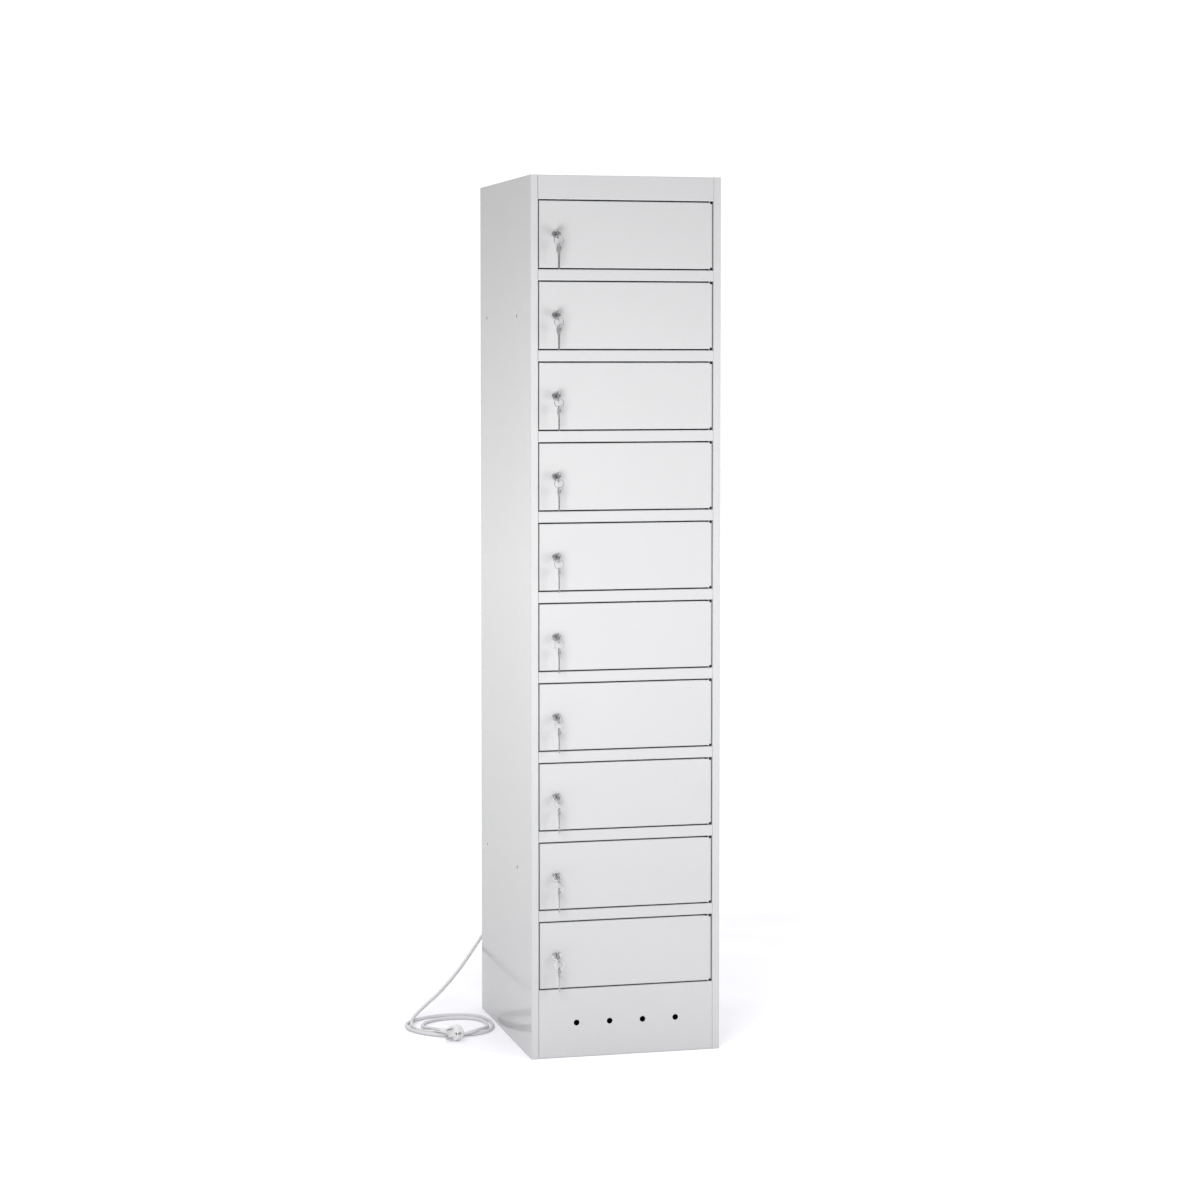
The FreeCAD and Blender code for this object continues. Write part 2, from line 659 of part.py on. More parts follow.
def cord_tube():
    """The cord: straight runs joined by tangent arcs, as large as the runs allow."""
    points = [Vec(*p) for p in CORD_ROUTE]
    edges = []
    radii = []
    start = points[0]
    for before, corner, after in zip(points, points[1:], points[2:]):
        back = (before - corner)
        ahead = (after - corner)
        shorter = min(back.Length, ahead.Length)
        reach = 0.45 * shorter
        back.normalize()
        ahead.normalize()
        half_turn = (math.pi - back.getAngle(ahead)) / 2
        radius = reach / math.tan(half_turn)
        radii.append(radius)
        bisector = (back + ahead).normalize()
        middle = corner + bisector * (radius / math.cos(half_turn) - radius)
        arc_start = corner + back * reach
        arc_end = corner + ahead * reach
        edges.append(Part.LineSegment(start, arc_start).toShape())
        edges.append(Part.Arc(arc_start, middle, arc_end).toShape())
        start = arc_end
    edges.append(Part.LineSegment(start, points[-1]).toShape())
    path = Part.Wire(edges)
    section = Part.Wire(Part.makeCircle(CORD_R, points[0], points[1] - points[0]))
    tube = path.makePipeShell([section], True, False)
    ideal = math.pi * CORD_R ** 2 * path.Length
    print("cord length %.1f, tightest radii" % path.Length, [round(r, 1) for r in sorted(radii)[:6]])
    print("cord volume / ideal %.4f" % (tube.Volume / ideal))
    return tube


def plug_frame():
    """The plug's centre, the way to its cord, and the way its pins point."""
    centre = Vec(*PLUG_CENTRE)
    to_cord = Vec(*CORD_ROUTE[-1]) - centre
    pins = Z_AXIS.cross(to_cord).normalize()
    return centre, to_cord, pins


def mains_plug():
    """Angled earthed plug: a round body, its neck and sleeve, and the two contact pins."""
    centre, to_cord, pins = plug_frame()
    along = Vec(to_cord).normalize()
    up = along.cross(pins) * -1
    half = PLUG_T / 2
    body = rod(PLUG_R, centre - pins * half, centre + pins * half)
    back_rim = [edge for edge in body.Edges
                if (edge.CenterOfMass - centre).dot(pins) < -half + 1e-3]
    body = body.makeFillet(PLUG_BACK_R, back_rim)
    neck_start, neck_end = [centre + along * reach for reach in PLUG_NECK[2:]]
    neck = taper(PLUG_NECK[0], PLUG_NECK[1], neck_start, neck_end)
    sleeve = taper(PLUG_SLEEVE_R[0], PLUG_SLEEVE_R[1], neck_end, centre + to_cord)
    body = joined([body, neck, sleeve])
    edge = PLUG_GROOVE / 2
    groove = box(-edge, edge, -edge, edge, -half, half)
    groove.Placement = FreeCAD.Placement(
        centre - along * (PLUG_R + 0.6) + pins * (half * 0.5),
        FreeCAD.Rotation(along, up, pins, "ZXY"))
    body = body.cut(groove)
    contacts = []
    for side in (-1, 1):
        base = centre + pins * half + up * (side * PIN_SPACING / 2)
        shank = rod(CONTACT_R, base, base + pins * PIN_L)
        nose = [edge for edge in shank.Edges
                if abs((edge.CenterOfMass - base).dot(pins) - PIN_L) < 1e-3]
        contacts.append(shank.makeFillet(CONTACT_NOSE, nose))
    return body, contacts


# ---- write the files -------------------------------------------------------------------

def main():
    os.makedirs("parts", exist_ok=True)
    pins = hinge_pins()

    save("left_side", [side_panel(-1)])
    save("right_side", [side_panel(1)])
    save("top_panel", [top_panel().cut(pins[0])])
    save("plinth_panel", [plinth_panel().cut(pins[-1])])
    rails = []
    for index in range(DOORS - 1):
        z_high = opening_bottom(index)
        rails.append(front_channel(z_high - RAIL_H, z_high).cut(pins[index + 1]))
    save("front_rails", rails)
    save("base_tray", [base_tray()])
    save("back_panel", [back_panel()])
    save("shelves", shelves())
    save("service_wall", [service_wall()])
    save("hinge_pins", pins)
    save("door_stops", door_stops())
    save("rivets", rivets())

    save("power_sockets", [power_socket(index) for index in range(DOORS)])
    save("socket_wiring", socket_wiring())
    save("distribution_box", distribution_box())
    save("terminal_block", [terminal_block()])
    save("cable_gland", cable_gland())

    body, contacts = mains_plug()
    save("mains_cord", [cord_tube()])
    save("plug_body", [body])
    save("plug_pins", contacts)

    for index in range(DOORS):
        number = "_%02d" % (index + 1)
        save("door" + number, door(index))
        save("lock_housing" + number, lock_housing(index))
        save("lock_core" + number, lock_core(index))
        save("keys" + number, hanging_keys(index))


main()
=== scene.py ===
import math

import bmesh
import bpy
from mathutils import Matrix, Vector


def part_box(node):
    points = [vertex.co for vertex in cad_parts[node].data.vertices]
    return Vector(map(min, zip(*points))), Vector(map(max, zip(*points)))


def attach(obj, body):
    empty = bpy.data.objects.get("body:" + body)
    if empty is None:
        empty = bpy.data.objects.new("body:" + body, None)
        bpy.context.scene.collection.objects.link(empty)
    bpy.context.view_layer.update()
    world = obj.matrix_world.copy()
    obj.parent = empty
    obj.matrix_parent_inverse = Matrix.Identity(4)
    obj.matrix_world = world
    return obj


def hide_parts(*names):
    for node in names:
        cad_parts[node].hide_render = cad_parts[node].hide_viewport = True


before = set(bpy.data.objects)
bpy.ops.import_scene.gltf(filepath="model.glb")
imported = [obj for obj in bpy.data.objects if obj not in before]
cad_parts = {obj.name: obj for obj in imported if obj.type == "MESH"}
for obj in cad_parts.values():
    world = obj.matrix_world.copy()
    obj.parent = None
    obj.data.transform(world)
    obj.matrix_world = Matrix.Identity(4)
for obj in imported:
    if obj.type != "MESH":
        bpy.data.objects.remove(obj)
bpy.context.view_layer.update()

# Places are in metres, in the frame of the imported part. Shapes are drawn in millimetres and
# scaled when they become meshes.
MM = 0.001

NUMBERS = ["%02d" % (index + 1) for index in range(10)]
FRONT_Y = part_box("front_rails")[0].y
BACK_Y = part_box("left_side")[1].y

# ---- camera ----------------------------------------------------------------------------

CAMERA_PLACE = (-1.50903, -5.97588, 1.43294)
CAMERA_DOWN = 3.115
CAMERA_TURN = 14.232
CAMERA_LENS = 87.30
CAMERA_SHIFT = -0.0703


def make_camera():
    data = bpy.data.cameras.new("camera")
    data.sensor_width = 36
    data.lens = CAMERA_LENS
    data.shift_y = CAMERA_SHIFT
    data.clip_start = 0.1
    data.clip_end = 100
    camera = bpy.data.objects.new("camera", data)
    camera.location = CAMERA_PLACE
    camera.rotation_euler = (math.radians(90 - CAMERA_DOWN), 0, -math.radians(CAMERA_TURN))
    bpy.context.scene.collection.objects.link(camera)
    bpy.context.scene.camera = camera


# ---- materials -------------------------------------------------------------------------

def node(tree, kind, inputs=None, **settings):
    """A shader node; inputs maps a socket's name or number to a value or to another socket."""
    made = tree.nodes.new("ShaderNode" + kind)
    for name, value in settings.items():
        setattr(made, name, value)
    for name, value in (inputs or {}).items():
        if isinstance(value, bpy.types.NodeSocket):
            tree.links.new(value, made.inputs[name])
        else:
            made.inputs[name].default_value = value
    return made


def new_material(name, **values):
    """A material, its tree, its Principled shader, and the coordinates in metres."""
    material = bpy.data.materials.new(name)
    material.use_nodes = True
    tree = material.node_tree
    shader = tree.nodes["Principled BSDF"]
    for socket, value in values.items():
        shader.inputs[socket.replace("_", " ")].default_value = value
    where = tree.nodes.new("ShaderNodeTexCoord").outputs["Object"]
    return material, tree, shader, where


def noise(tree, where, scale, detail=2.0, rough=0.5, stretch=None):
    """Noise with about scale features to the metre; stretch multiplies that along X, Y and Z."""
    if stretch:
        where = node(tree, "Mapping", {"Vector": where, "Scale": stretch}).outputs[0]
    made = node(tree, "TexNoise", {"Vector": where, "Scale": scale, "Detail": detail,
                                   "Roughness": rough})
    return made.outputs["Fac"]


def ranged(tree, value, low, high, from_low=0.3, from_high=0.7):
    """The value from from_low to from_high, spread over low to high and held at both ends."""
    made = node(tree, "MapRange", {"Value": value, "From Min": from_low, "From Max": from_high,
                                   "To Min": low, "To Max": high})
    return made.outputs[0]


def math_node(tree, operation, first, second):
    return node(tree, "Math", {0: first, 1: second}, operation=operation).outputs[0]


def colour_ramp(tree, value, stops):
    """A ramp between two stops, each a place and a colour."""
    made = node(tree, "ValToRGB", {"Fac": value})
    for element, (place, colour) in zip(made.color_ramp.elements, stops):
        element.position = place
        element.color = (*colour, 1)
    return made.outputs["Color"]


def mix_colour(tree, factor, first, second):
    made = node(tree, "Mix", data_type="RGBA")
    for name, value in ((0, factor), (6, first), (7, second)):
        if isinstance(value, bpy.types.NodeSocket):
            tree.links.new(value, made.inputs[name])
        else:
            made.inputs[name].default_value = value
    return made.outputs[2]


def worn_edge(tree, radius):
    """Rounded normal of nearby edges, and a factor that is 1 on the edges themselves."""
    rounded = node(tree, "Bevel", {"Radius": radius}, samples=4).outputs[0]
    flat = node(tree, "NewGeometry").outputs["Normal"]
    facing = node(tree, "VectorMath", {0: rounded, 1: flat}, operation="DOT_PRODUCT")
    return rounded, ranged(tree, facing.outputs["Value"], 1.0, 0.0, 0.80, 0.99)


def bump(tree, height, depth, strength, normal=None):
    inputs = {"Height": height, "Distance": depth, "Strength": strength}
    if normal:
        inputs["Normal"] = normal
    return node(tree, "Bump", inputs).outputs[0]


def powder_coat(name, light):
    """Semi-gloss powder coat: orange peel, faint mottling, wiped smears and rubbed edges."""
    material, tree, shader, where = new_material(name, Specular_IOR_Level=0.5, IOR=1.5)
    rounded, edge = worn_edge(tree, 0.0009)
    mottle = noise(tree, where, 2.6, 3.0)
    cloud = noise(tree, where, 38, 3.0)
    grain = noise(tree, where, 2100, 1.0)
    dark = tuple(c * 0.975 for c in light)
    bright = tuple(min(1.0, c * 1.02) for c in light)
    blotch = math_node(tree, "ADD", ranged(tree, mottle, 0.05, 0.50, 0.15, 0.85),
                       ranged(tree, cloud, 0.0, 0.22, 0.1, 0.9))
    speck = math_node(tree, "ADD", blotch, ranged(tree, grain, -0.02, 0.24, 0.1, 0.9))
    base = colour_ramp(tree, speck, [(0.05, dark), (0.95, bright)])
    rubbed = tuple(min(1.0, c * 1.07) for c in light)
    base = mix_colour(tree, math_node(tree, "MULTIPLY", edge, 0.55), base, (*rubbed, 1))
    tree.links.new(base, shader.inputs["Base Color"])
    smear = noise(tree, where, 9, 4.0, 0.6, stretch=(1.0, 1.0, 0.35))
    rough = math_node(tree, "ADD", ranged(tree, smear, 0.11, 0.17, 0.15, 0.85),
                      ranged(tree, cloud, -0.01, 0.02, 0.1, 0.9))
    rough = math_node(tree, "SUBTRACT", rough, math_node(tree, "MULTIPLY", edge, 0.05))
    tree.links.new(rough, shader.inputs["Roughness"])
    peel = noise(tree, where, 620, 2.0, 0.45)
    tree.links.new(bump(tree, peel, 0.00005, 0.35, rounded), shader.inputs["Normal"])
    return material


def plated(name, light, low, high, brush, lay):
    """Bright or zinc-plated metal with fine scratches that run along lay, and dulled patches."""
    material, tree, shader, where = new_material(name, Metallic=1.0)
    rounded, edge = worn_edge(tree, 0.0003)
    fine = noise(tree, where, brush, 3.0, 0.6, stretch=lay)
    patch = noise(tree, where, 140, 3.0)
    dull = tuple(c * 0.84 for c in light)
    wear = math_node(tree, "ADD", ranged(tree, patch, 0.1, 0.6), ranged(tree, fine, 0.0, 0.35))
    base = colour_ramp(tree, wear, [(0.1, dull), (0.9, light)])
    shine = tuple(min(1.0, c * 1.1) for c in light)
    base = mix_colour(tree, math_node(tree, "MULTIPLY", edge, 0.6), base, (*shine, 1))
    tree.links.new(base, shader.inputs["Base Color"])
    dulling = math_node(tree, "ADD", math_node(tree, "MULTIPLY", fine, 0.6),
                        math_node(tree, "MULTIPLY", patch, 0.4))
    tree.links.new(ranged(tree, dulling, low, high), shader.inputs["Roughness"])
    tree.links.new(bump(tree, fine, 0.00001, 0.3, rounded), shader.inputs["Normal"])
    return material


def moulded(name, light, rough, grain_scale, depth, tint=0.96):
    """Moulded plastic or rubber: sparked grain, slight flow marks and slightly lighter edges."""
    material, tree, shader, where = new_material(name, IOR=1.49)
    rounded, edge = worn_edge(tree, 0.0005)
    flow = noise(tree, where, 32, 3.0, 0.55, stretch=(1.0, 0.5, 1.4))
    grain = noise(tree, where, grain_scale, 2.0, 0.6)
    dark = tuple(c * tint for c in light)
    marks = math_node(tree, "ADD", ranged(tree, flow, 0.0, 0.6), ranged(tree, grain, 0.0, 0.4))
    base = colour_ramp(tree, marks, [(0.05, dark), (0.95, light)])
    bright = tuple(min(1.0, c * 1.05 + 0.005) for c in light)
    base = mix_colour(tree, math_node(tree, "MULTIPLY", edge, 0.5), base, (*bright, 1))
    tree.links.new(base, shader.inputs["Base Color"])
    tree.links.new(ranged(tree, flow, rough - 0.05, rough + 0.06), shader.inputs["Roughness"])
    tree.links.new(bump(tree, grain, depth, 0.5, rounded), shader.inputs["Normal"])
    return material


def sheath(name, light):
    """Satin PVC sheath of a mains cord, with scuffs and a fine grain."""
    material, tree, shader, where = new_material(name, IOR=1.5)
    scuff = noise(tree, where, 90, 4.0, 0.65)
    grain = noise(tree, where, 1500, 2.0)
    dark = tuple(c * 0.93 for c in light)
    marks = math_node(tree, "ADD", ranged(tree, scuff, 0.2, 0.8), ranged(tree, grain, -0.1, 0.15))
    base = colour_ramp(tree, marks, [(0.0, dark), (0.8, light)])
    tree.links.new(base, shader.inputs["Base Color"])
    tree.links.new(ranged(tree, scuff, 0.33, 0.47), shader.inputs["Roughness"])
    tree.links.new(bump(tree, grain, 0.00004, 0.3), shader.inputs["Normal"])
    return material


FLOOR_GLOW = 0.10           # radiance that the floor has of its own


def floor_paper(name):
    material, tree, shader, where = new_material(name, Roughness=0.9, Specular_IOR_Level=0.1)
    fibre = noise(tree, where, 6, 4.0)
    base = colour_ramp(tree, fibre, [(0.3, (0.79, 0.79, 0.82)), (0.7, (0.82, 0.82, 0.85))])
    tree.links.new(base, shader.inputs["Base Color"])
    shader.inputs["Emission Color"].default_value = (0.93, 0.93, 1.0, 1.0)
    shader.inputs["Emission Strength"].default_value = FLOOR_GLOW
    return material


GREY = powder_coat("grey_powder_coat", (0.457, 0.457, 0.459))
# A slightly darker copy of the same coat for parts inside the cabinet: painted shade.
GREY_INSIDE_SHADED = powder_coat("grey_powder_coat_inside_shaded", (0.450, 0.450, 0.452))
ZINC = plated("plated_steel", (0.62, 0.63, 0.65), 0.28, 0.46, 900, (1.0, 1.0, 0.15))
CHROME = plated("chrome_lock", (0.84, 0.84, 0.85), 0.08, 0.20, 1400, (1.0, 0.2, 1.0))
NICKEL = plated("nickel_key", (0.50, 0.495, 0.485), 0.22, 0.36, 1600, (1.0, 1.0, 0.2))
WHITE = moulded("white_moulding", (0.72, 0.72, 0.71), 0.34, 1700, 0.00004)
GLAND_GREY = moulded("gland_plastic", (0.52, 0.53, 0.54), 0.48, 1300, 0.00005)
RUBBER = moulded("black_rubber", (0.022, 0.022, 0.023), 0.7, 1100, 0.00008, 0.7)
# Near-black material for painted shade, in the deep keyway and behind the outlets' pin holes.
PAINTED_SHADE_BLACK = moulded("keyway_inside", (0.018, 0.017, 0.016), 0.55, 900, 0.00006, 0.6)
SHEATH = sheath("cord_sheath", (0.62, 0.62, 0.625))
FLOOR_PAPER = floor_paper("studio_floor")

# ---- shape helpers ---------------------------------------------------------------------


def add_object(name, mesh, place, material=None):
    made = bpy.data.objects.new(name, mesh)
    made.location = place
    bpy.context.scene.collection.objects.link(made)
    if material is not None:
        mesh.materials.clear()
        mesh.materials.append(material)
    return made


def to_mesh(name, shape, sharp=35.0):
    """A mesh in metres from a bmesh in millimetres, smooth but for edges over sharp degrees."""
    mesh = bpy.data.meshes.new(name)
    bmesh.ops.recalc_face_normals(shape, faces=shape.faces)
    shape.to_mesh(mesh)
    shape.free()
    mesh.transform(Matrix.Scale(MM, 4))
    mesh.shade_smooth()
    mesh.set_sharp_from_angle(angle=math.radians(sharp))
    return mesh


def join(target, part):
    """Adds one bmesh to another, and frees it."""
    mesh = bpy.data.meshes.new("part")
    part.to_mesh(mesh)
    part.free()
    target.from_mesh(mesh)
    bpy.data.meshes.remove(mesh)


def arc(centre_u, centre_v, radius, start, end, steps):
    """Points of an arc, in degrees from the first axis towards the second."""
    points = []
    for step in range(steps + 1):
        angle = math.radians(start + (end - start) * step / steps)
        points.append((centre_u + radius * math.cos(angle), centre_v + radius * math.sin(angle)))
    return points


def circle(centre_u, centre_v, radius, steps=48):
    return arc(centre_u, centre_v, radius, 0, 360, steps)[:-1]


def rounded_rectangle(width, height, radius, steps, centre=(0, 0)):
    u, v = width / 2 - radius, height / 2 - radius
    points = []
    for sign_u, sign_v, start in ((1, 1, 0), (-1, 1, 90), (-1, -1, 180), (1, -1, 270)):
        points += arc(centre[0] + sign_u * u, centre[1] + sign_v * v, radius,
                      start, start + 90, steps)
    return points


def lathe(shape, profile, steps=48, wave=None, closed=False):
    """Turns a profile of (radius, y) about the Y axis; wave may change a radius by angle."""
    rings = []
    for radius, y in profile:
        if radius == 0:
            rings.append([shape.verts.new((0, y, 0))])
            continue
        ring = []
        for step in range(steps):
            angle = 2 * math.pi * step / steps
            r = wave(radius, y, angle) if wave else radius
            ring.append(shape.verts.new((r * math.cos(angle), y, r * math.sin(angle))))
        rings.append(ring)
    pairs = list(zip(rings, rings[1:]))
    if closed:
        pairs.append((rings[-1], rings[0]))
    for first, second in pairs:
        for step in range(steps):
            after = (step + 1) % steps
            corners = [first[step % len(first)], first[after % len(first)],
                       second[after % len(second)], second[step % len(second)]]
            unique = list(dict.fromkeys(corners))
            if len(unique) > 2:
                shape.faces.new(unique)


def plate(shape, loops, low, high, bevel, turn=None):
    """A flat piece in the XZ plane from y low to y high; loops after the first are holes."""
    curve = bpy.data.curves.new("outline", "CURVE")
    curve.dimensions = "2D"
    curve.fill_mode = "BOTH"
    curve.extrude = (high - low) / 2 - bevel
    curve.bevel_depth = bevel
    curve.offset = -bevel
    curve.bevel_resolution = 2
    for loop in loops:
        spline = curve.splines.new("POLY")
        spline.points.add(len(loop) - 1)
        for point, (u, v) in zip(spline.points, loop):
            point.co = (u, v, 0, 1)
        spline.use_cyclic_u = True
    holder = bpy.data.objects.new("outline", curve)
    mesh = bpy.data.meshes.new_from_object(holder)
    upright = Matrix(((1, 0, 0, 0), (0, 0, -1, (low + high) / 2), (0, 1, 0, 0), (0, 0, 0, 1)))
    mesh.transform((turn or Matrix.Identity(4)) @ upright)
    shape.from_mesh(mesh)
    bpy.data.objects.remove(holder)
    bpy.data.curves.remove(curve)
    bpy.data.meshes.remove(mesh)
    bmesh.ops.remove_doubles(shape, verts=shape.verts, dist=0.0005)


def skin(shape, rings):
    """Faces between rings of vertices, and over the first and the last."""
    size = len(rings[0])
    for first, second in zip(rings, rings[1:]):
        for k in range(size):
            shape.faces.new((first[k], first[(k + 1) % size],
                             second[(k + 1) % size], second[k]))
    shape.faces.new(rings[0])
    shape.faces.new(rings[-1][::-1])


def sweep(shape, points, section, flat_axis):
    """Sweeps a closed section of (side, up) along points, kept square to flat_axis."""
    rings = []
    for index, point in enumerate(points):
        before = points[max(index - 1, 0)]
        after = points[min(index + 1, len(points) - 1)]
        along = (after - before).normalized()
        side = along.cross(flat_axis).normalized()
        upward = side.cross(along).normalized()
        rings.append([shape.verts.new(point + side * u + upward * v) for u, v in section])
    skin(shape, rings)


def block(shape, low, high, bevel):
    """A box between two corners with rounded edges."""
    made = bmesh.ops.create_cube(shape, size=1.0)
    size = [b - a for a, b in zip(low, high)]
    middle = [(a + b) / 2 for a, b in zip(low, high)]
    bmesh.ops.scale(shape, vec=size, verts=made["verts"])
    bmesh.ops.translate(shape, vec=middle, verts=made["verts"])
    edges = list({edge for vert in made["verts"] for edge in vert.link_edges})
    bmesh.ops.bevel(shape, geom=edges, offset=bevel, segments=2, profile=0.5,
                    affect="EDGES")


def hexagon(radius):
    return arc(0, 0, radius, 0, 360, 6)[:-1]


def place_piece(name, mesh, place, body, material, replaces=(), turn=None):
    piece = add_object(name, mesh, place, material)
    if turn is not None:
        piece.rotation_euler = turn
    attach(piece, body)
    if replaces:
        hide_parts(*replaces)
    return piece


# ---- mains cord and its plug -----------------------------------------------------------

CORD_DIAMETER = 0.007
CORD_EXIT = (-0.096, 0.276, 0.226)
CORD_ROUTE = (
    (-0.096, 0.276, 0.226), (-0.098, 0.303, 0.225), (-0.112, 0.330, 0.214),
    (-0.140, 0.341, 0.192), (-0.174, 0.319, 0.159), (-0.210, 0.282, 0.126),
    (-0.252, 0.251, 0.083), (-0.299, 0.217, 0.046), (-0.344, 0.185, 0.021),
    (-0.365, 0.154, 0.014), (-0.380, 0.122, 0.011), (-0.386, 0.093, 0.006),
    (-0.383, 0.064, 0.0036), (-0.367, 0.036, 0.0036), (-0.340, 0.011, 0.0036),
    (-0.309, -0.004, 0.0036), (-0.280, -0.010, 0.0036), (-0.252, -0.004, 0.0036),
    (-0.231, 0.017, 0.0036), (-0.217, 0.048, 0.0036), (-0.2125, 0.082, 0.0036),
    (-0.213, 0.116, 0.0036), (-0.223, 0.148, 0.0036), (-0.245, 0.170, 0.0036),
    (-0.275, 0.178, 0.0036), (-0.306, 0.179, 0.0036), (-0.335, 0.170, 0.0036),
    (-0.361, 0.154, 0.0036), (-0.384, 0.134, 0.0036), (-0.396, 0.107, 0.0036),
    (-0.397, 0.077, 0.0036), (-0.389, 0.047, 0.0036), (-0.371, 0.020, 0.0036),
    (-0.345, -0.002, 0.0036), (-0.318, -0.015, 0.0036), (-0.293, -0.019, 0.007),
    (-0.270, -0.012, 0.011), (-0.251, 0.004, 0.011), (-0.237, 0.027, 0.007),
    (-0.228, 0.053, 0.0036), (-0.2245, 0.082, 0.0036), (-0.228, 0.110, 0.0036),
    (-0.241, 0.133, 0.0036), (-0.263, 0.146, 0.0036), (-0.291, 0.149, 0.0036),
    (-0.319, 0.143, 0.0036), (-0.344, 0.127, 0.0036), (-0.360, 0.104, 0.0036),
    (-0.365, 0.079, 0.0038), (-0.362, 0.055, 0.007), (-0.356, 0.033, 0.0114),
    (-0.349, 0.013, 0.0134), (-0.341, -0.005, 0.015),
)
PLUG_CENTRE = Vector((-0.316, -0.042, 0.0166))
SLEEVE_HOLE = CORD_DIAMETER / 2 / MM + 0.05
PLUG_R = 16.5
PIN_SPACING = 19.0
EARTH_HOLE = (-10, 0, 0)    # where the earth pin's hole lies on the plug's face
CLIP_SLOT_X = 16.4          # middles of the slots for the side earth clips, and of the clips
CLIP_X = 15.9
GLAND_LENGTH = 32.0
TO_CORD = Matrix.Rotation(math.radians(-90), 3, "Z")     # from a lathe's axis to the neck's


def make_cord():
    curve = bpy.data.curves.new("mains_lead", "CURVE")
    curve.dimensions = "3D"
    spline = curve.splines.new("NURBS")
    spline.points.add(len(CORD_ROUTE) - 1)
    for point, place in zip(spline.points, CORD_ROUTE):
        point.co = (*place, 1)
    spline.order_u = 3
    spline.use_endpoint_u = True
    spline.resolution_u = 10
    curve.bevel_depth = CORD_DIAMETER / 2
    curve.bevel_resolution = 6
    curve.materials.append(SHEATH)
    lead = bpy.data.objects.new("mains_lead", curve)
    bpy.context.scene.collection.objects.link(lead)
    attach(lead, "cabinet")
    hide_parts("mains_cord")
    return lead


def ribbed_sleeve(shape, start, end, radius_start, radius_end, hole, ribs):
    """A tapered flexible sleeve along Y with ribs, open round the cord at its end."""
    profile = [(radius_start, start)]
    pitch = (end - start) / ribs
    for rib in range(ribs):
        share = rib / ribs
        radius = radius_start + (radius_end - radius_start) * share
        y = start + rib * pitch
        profile += [(radius, y + 0.12 * pitch), (radius, y + 0.52 * pitch),
                    (radius - 0.75, y + 0.68 * pitch), (radius - 0.75, y + 0.92 * pitch)]
    profile += [(radius_end, end - 0.3), (radius_end - 0.3, end), (hole, end), (hole, end - 4)]
    lathe(shape, profile, 40)


def plug_matrix():
    """From the plug's own axes to the frame: X to the cord, Y from the face into the body."""
    to_cord = Vector(CORD_ROUTE[-1]) - PLUG_CENTRE
    along = to_cord.normalized()
    inward = -Vector((0, 0, 1)).cross(along).normalized()
    up = along.cross(inward)
    turn = Matrix((along, inward, up)).transposed().to_4x4()
    return Matrix.Translation(PLUG_CENTRE) @ turn, to_cord.length / MM


def plug_shell():
    """The moulded body: a round head that runs softly into the neck towards the cord."""
    shape = bmesh.new()
    head = [(0, -10), (14.4, -10), (15.6, -9.7), (16.3, -9.0), (PLUG_R, -8.0), (PLUG_R, 3.5),
            (16.2, 5.8), (15.3, 7.8), (13.7, 9.2), (11.4, 9.9), (8, 10), (0, 10)]
    lathe(shape, head, 72)
    neck = bmesh.new()
    lathe(neck, [(0, 4), (9.6, 4), (9.4, 13), (8.4, 18), (7.1, 23), (6.4, 26), (0, 26)], 48)
    bmesh.ops.scale(neck, vec=(1.0, 1.0, 1.12), verts=neck.verts)
    bmesh.ops.rotate(neck, cent=(0, 0, 0), verts=neck.verts, matrix=TO_CORD)
    join(shape, neck)
    holder = add_object("plug_shell", to_mesh("plug_shell", shape), (0, 0, 0))
    remesh = holder.modifiers.new("remesh", "REMESH")
    remesh.mode = "VOXEL"
    remesh.voxel_size = 0.45 * MM
    smooth = holder.modifiers.new("smooth", "SMOOTH")
    smooth.factor = 0.5
    smooth.iterations = 5
    return holder


def cut_with(target, shape_mesh):
    """Cuts a mesh out of the target by a modifier, and gives back the cutting object."""
    cutter = add_object("cutter", shape_mesh, (0, 0, 0))
    cut = target.modifiers.new("cut", "BOOLEAN")
    cut.operation = "DIFFERENCE"
    cut.solver = "EXACT"
    cut.object = cutter
    return cutter


def applied(holder, name):
    """The holder's mesh with its modifiers applied, as a mesh of its own."""
    graph = bpy.context.evaluated_depsgraph_get()
    mesh = bpy.data.meshes.new_from_object(holder.evaluated_get(graph))
    mesh.name = name
    mesh.shade_smooth()
    mesh.set_sharp_from_angle(angle=math.radians(35.0))
    return mesh


